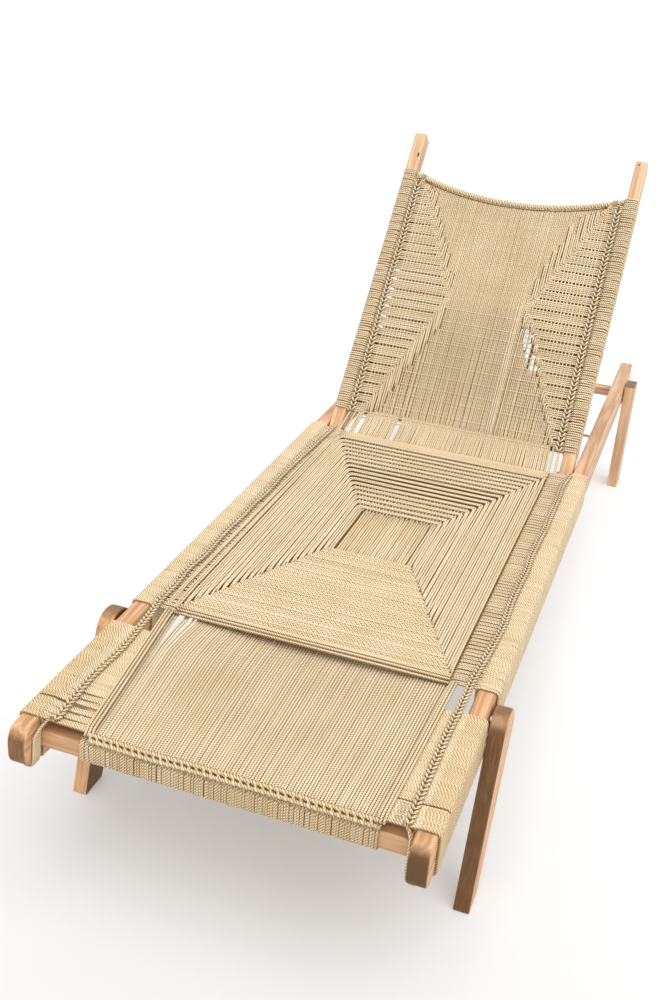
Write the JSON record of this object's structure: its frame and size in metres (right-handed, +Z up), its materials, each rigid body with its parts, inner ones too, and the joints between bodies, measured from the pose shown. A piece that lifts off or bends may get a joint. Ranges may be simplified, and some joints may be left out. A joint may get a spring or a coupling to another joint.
{
  "type": "chaise longue",
  "caption": "Low wooden sun lounger with a corded seat in mitred fields, a hinged corded backrest held up by a folding prop, and splayed plank legs.",
  "frame": {"origin": "on the floor under the middle of the side rails", "axes": "+X to the right as seen from the foot end, +Y from the foot end to the head end, +Z up"},
  "size_m": [0.6604, 1.947, 0.833],
  "materials": {
    "wood": "oiled light hardwood, satin",
    "cord": "twisted straw cord, matt",
    "steel": "satin"
  },
  "bodies": {
    "frame": {"foot_panel": "cord", "front_braid": "cord", "front_cross_rail": "wood", "front_rail_wrap": "cord", "hinge_nuts": "steel", "hinge_pins": "steel", "hinge_washers": "steel", "left_foot_band": "cord", "left_foot_wrap": "cord", "left_front_leg": "wood", "left_lashing": "cord", "left_rail_braid": "cord", "left_rear_leg": "wood", "left_seat_band": "cord", "left_seat_side_field": "cord", "left_seat_wrap": "cord", "left_side_rail": "wood", "leg_bolts": "steel", "leg_inserts": "steel", "leg_spacers": "steel", "prop_axle": "steel", "rear_cross_rail": "wood", "right_foot_band": "cord", "right_foot_wrap": "cord", "right_front_leg": "wood", "right_lashing": "cord", "right_rail_braid": "cord", "right_rear_leg": "wood", "right_seat_band": "cord", "right_seat_side_field": "cord", "right_seat_wrap": "cord", "right_side_rail": "wood", "seat_back_field": "cord", "seat_back_rope": "cord", "seat_centre_field": "cord", "seat_front_field": "cord", "seat_front_rope": "cord"},
    "backrest": {"left_upright": "wood", "right_upright": "wood", "left_rack": "wood", "right_rack": "wood", "left_upright_wrap": "cord", "right_upright_wrap": "cord", "left_back_side_field": "cord", "right_back_side_field": "cord", "left_back_braid": "cord", "right_back_braid": "cord", "lower_back_stretcher": "wood", "upper_back_stretcher": "wood", "back_centre_field": "cord", "top_rope": "cord"},
    "prop": {"left_prop_arm": "wood", "right_prop_arm": "wood", "prop_bar": "wood", "prop_stretcher": "wood"}
  },
  "joints": [
    {"name": "backrest_recline", "type": "hinge", "parent": "frame", "child": "backrest", "pos_m": [0, 0.2393, 0.262], "axis": [1, 0, 0], "range_deg": [-48.5, 20]},
    {"name": "prop_swing", "type": "hinge", "parent": "frame", "child": "prop", "pos_m": [0, 0.5553, 0.232], "axis": [1, 0, 0], "range_deg": [-102.5, 42.5]}
  ],
  "couplings": [
    {"joint": "prop_swing", "follows": "backrest_recline", "ratio": 2.1}
  ]
}
